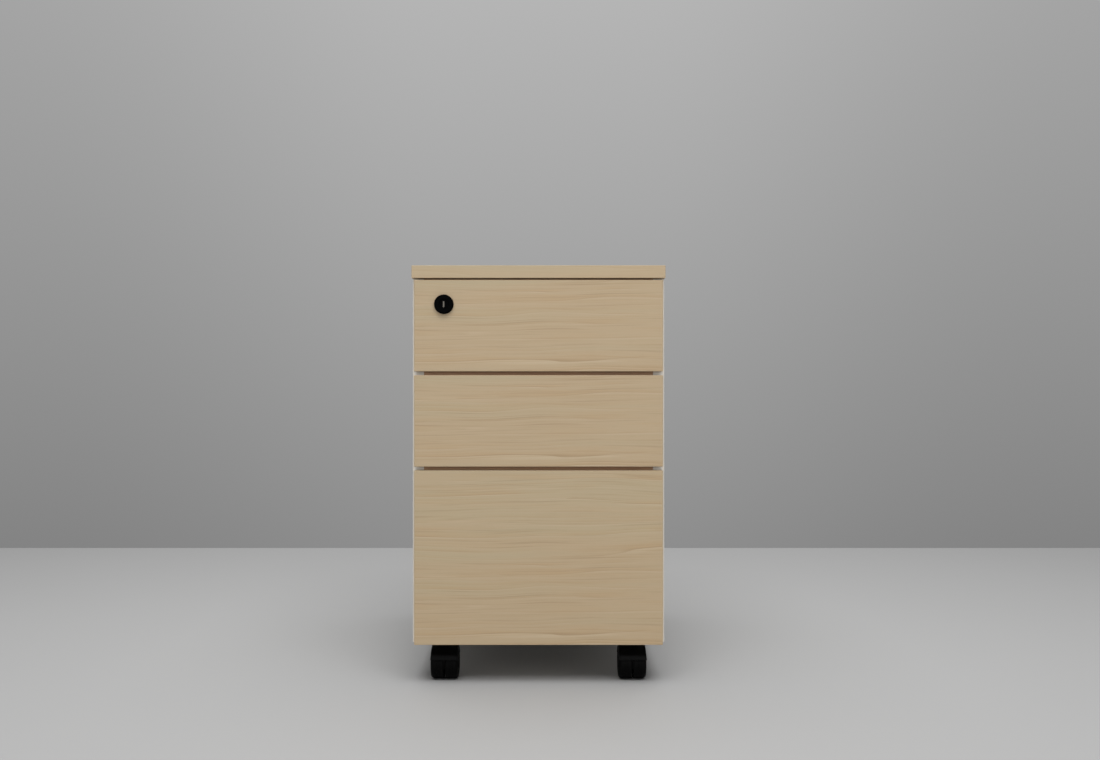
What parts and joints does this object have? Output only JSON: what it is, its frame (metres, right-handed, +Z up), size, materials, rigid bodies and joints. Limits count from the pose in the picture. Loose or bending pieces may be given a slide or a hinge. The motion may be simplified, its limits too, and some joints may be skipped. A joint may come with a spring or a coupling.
{
  "type": "rolling pedestal cabinet",
  "caption": "Low office pedestal on swivel casters with pale wood fronts and top, white sides, sliding drawers on ball runners and a central lock.",
  "frame": {"origin": "on the floor, under the middle of the cabinet's outer box", "axes": "+Z up, -Y out of the drawer fronts, +X to the right of someone facing the fronts"},
  "size_m": [0.4, 0.506, 0.66],
  "materials": {
    "oak_laminate": "pale oak print, matt",
    "white_laminate": "white melamine, satin",
    "drawer_board": "off-white foil, satin",
    "zinc": "die-cast zinc, satin",
    "zinc_plated_steel": "zinc plated, satin",
    "bearing_steel": "polished",
    "beech": "raw fluted wood",
    "clear_rubber": "soft, satin",
    "aluminium_bar": "mill finish",
    "guide_plastic": "moulded, matt",
    "black_lock": "black, satin",
    "black_nylon": "moulded, satin"
  },
  "bodies": {
    "cabinet": {"top_panel": "oak_laminate", "left_side_panel": "white_laminate", "right_side_panel": "white_laminate", "bottom_panel": "white_laminate", "back_panel": "white_laminate", "top_rail": "oak_laminate", "upper_divider_rail": "oak_laminate", "lower_divider_rail": "oak_laminate", "cam_housings": "zinc", "cam_bolts": "zinc_plated_steel", "dowels": "beech", "front_bumpers": "clear_rubber", "left_channels": "zinc_plated_steel", "right_channels": "zinc_plated_steel", "channel_screws": "zinc_plated_steel", "lock_bar_guides": "guide_plastic", "caster_plates": "zinc_plated_steel", "caster_stems": "zinc_plated_steel", "caster_screws": "zinc_plated_steel"},
    "top_drawer": {"top_front": "oak_laminate", "top_box_sides": "drawer_board", "top_box_ends": "drawer_board", "top_box_bottom": "drawer_board", "top_rails": "zinc_plated_steel", "top_catch": "guide_plastic", "lock_housing": "black_lock", "lock_nut": "zinc_plated_steel"},
    "top_runner_cages": {"top_ball_cages": "bearing_steel"},
    "middle_drawer": {"middle_front": "oak_laminate", "middle_box_sides": "drawer_board", "middle_box_ends": "drawer_board", "middle_box_bottom": "drawer_board", "middle_rails": "zinc_plated_steel", "middle_catch": "guide_plastic"},
    "middle_runner_cages": {"middle_ball_cages": "bearing_steel"},
    "bottom_drawer": {"bottom_front": "oak_laminate", "bottom_box_sides": "drawer_board", "bottom_box_ends": "drawer_board", "bottom_box_bottom": "drawer_board", "bottom_rails": "zinc_plated_steel", "bottom_catch": "guide_plastic"},
    "bottom_runner_cages": {"bottom_ball_cages": "bearing_steel"},
    "lock_plug": {"lock_plug": "black_lock"},
    "lock_bar": {"lock_bar": "aluminium_bar"},
    "front_left_caster": {"front_left_hood": "black_nylon", "front_left_axle": "zinc_plated_steel"},
    "front_left_left_wheel": {"front_left_left_wheel": "black_nylon"},
    "front_left_right_wheel": {"front_left_right_wheel": "black_nylon"},
    "front_right_caster": {"front_right_hood": "black_nylon", "front_right_axle": "zinc_plated_steel"},
    "front_right_left_wheel": {"front_right_left_wheel": "black_nylon"},
    "front_right_right_wheel": {"front_right_right_wheel": "black_nylon"},
    "rear_left_caster": {"rear_left_hood": "black_nylon", "rear_left_axle": "zinc_plated_steel"},
    "rear_left_left_wheel": {"rear_left_left_wheel": "black_nylon"},
    "rear_left_right_wheel": {"rear_left_right_wheel": "black_nylon"},
    "rear_right_caster": {"rear_right_hood": "black_nylon", "rear_right_axle": "zinc_plated_steel"},
    "rear_right_left_wheel": {"rear_right_left_wheel": "black_nylon"},
    "rear_right_right_wheel": {"rear_right_right_wheel": "black_nylon"}
  },
  "joints": [
    {"name": "drawer_top", "type": "slide", "parent": "cabinet", "child": "top_drawer", "axis": [0, -1, 0], "range_m": [0, 0.33]},
    {"name": "runner_top", "type": "slide", "parent": "cabinet", "child": "top_runner_cages", "axis": [0, -1, 0], "range_m": [0, 0.165]},
    {"name": "drawer_middle", "type": "slide", "parent": "cabinet", "child": "middle_drawer", "axis": [0, -1, 0], "range_m": [0, 0.33]},
    {"name": "runner_middle", "type": "slide", "parent": "cabinet", "child": "middle_runner_cages", "axis": [0, -1, 0], "range_m": [0, 0.165]},
    {"name": "drawer_bottom", "type": "slide", "parent": "cabinet", "child": "bottom_drawer", "axis": [0, -1, 0], "range_m": [0, 0.33]},
    {"name": "runner_bottom", "type": "slide", "parent": "cabinet", "child": "bottom_runner_cages", "axis": [0, -1, 0], "range_m": [0, 0.165]},
    {"name": "lock_turn", "type": "hinge", "parent": "top_drawer", "child": "lock_plug", "pos_m": [-0.14885, -0.247, 0.5985], "axis": [0, 1, 0], "range_deg": [0, 90]},
    {"name": "lock_bar_lift", "type": "slide", "parent": "cabinet", "child": "lock_bar", "axis": [0, 0, 1], "range_m": [0, 0.0099]},
    {"name": "swivel_front_left", "type": "hinge", "parent": "cabinet", "child": "front_left_caster", "pos_m": [-0.15, -0.18, 0.0625], "axis": [0, 0, 1], "continuous": true},
    {"name": "wheel_front_left_left", "type": "hinge", "parent": "front_left_caster", "child": "front_left_left_wheel", "pos_m": [-0.15, -0.207, 0.025], "axis": [1, 0, 0], "continuous": true},
    {"name": "wheel_front_left_right", "type": "hinge", "parent": "front_left_caster", "child": "front_left_right_wheel", "pos_m": [-0.15, -0.207, 0.025], "axis": [1, 0, 0], "continuous": true},
    {"name": "swivel_front_right", "type": "hinge", "parent": "cabinet", "child": "front_right_caster", "pos_m": [0.15, -0.18, 0.0625], "axis": [0, 0, 1], "continuous": true},
    {"name": "wheel_front_right_left", "type": "hinge", "parent": "front_right_caster", "child": "front_right_left_wheel", "pos_m": [0.15, -0.207, 0.025], "axis": [1, 0, 0], "continuous": true},
    {"name": "wheel_front_right_right", "type": "hinge", "parent": "front_right_caster", "child": "front_right_right_wheel", "pos_m": [0.15, -0.207, 0.025], "axis": [1, 0, 0], "continuous": true},
    {"name": "swivel_rear_left", "type": "hinge", "parent": "cabinet", "child": "rear_left_caster", "pos_m": [-0.15, 0.204, 0.0625], "axis": [0, 0, 1], "continuous": true},
    {"name": "wheel_rear_left_left", "type": "hinge", "parent": "rear_left_caster", "child": "rear_left_left_wheel", "pos_m": [-0.15, 0.177, 0.025], "axis": [1, 0, 0], "continuous": true},
    {"name": "wheel_rear_left_right", "type": "hinge", "parent": "rear_left_caster", "child": "rear_left_right_wheel", "pos_m": [-0.15, 0.177, 0.025], "axis": [1, 0, 0], "continuous": true},
    {"name": "swivel_rear_right", "type": "hinge", "parent": "cabinet", "child": "rear_right_caster", "pos_m": [0.15, 0.204, 0.0625], "axis": [0, 0, 1], "continuous": true},
    {"name": "wheel_rear_right_left", "type": "hinge", "parent": "rear_right_caster", "child": "rear_right_left_wheel", "pos_m": [0.15, 0.177, 0.025], "axis": [1, 0, 0], "continuous": true},
    {"name": "wheel_rear_right_right", "type": "hinge", "parent": "rear_right_caster", "child": "rear_right_right_wheel", "pos_m": [0.15, 0.177, 0.025], "axis": [1, 0, 0], "continuous": true}
  ],
  "couplings": [
    {"joint": "runner_top", "follows": "drawer_top", "ratio": 0.5},
    {"joint": "runner_middle", "follows": "drawer_middle", "ratio": 0.5},
    {"joint": "runner_bottom", "follows": "drawer_bottom", "ratio": 0.5},
    {"joint": "lock_turn", "follows": "lock_bar_lift", "rad_per_m": 158.67}
  ]
}
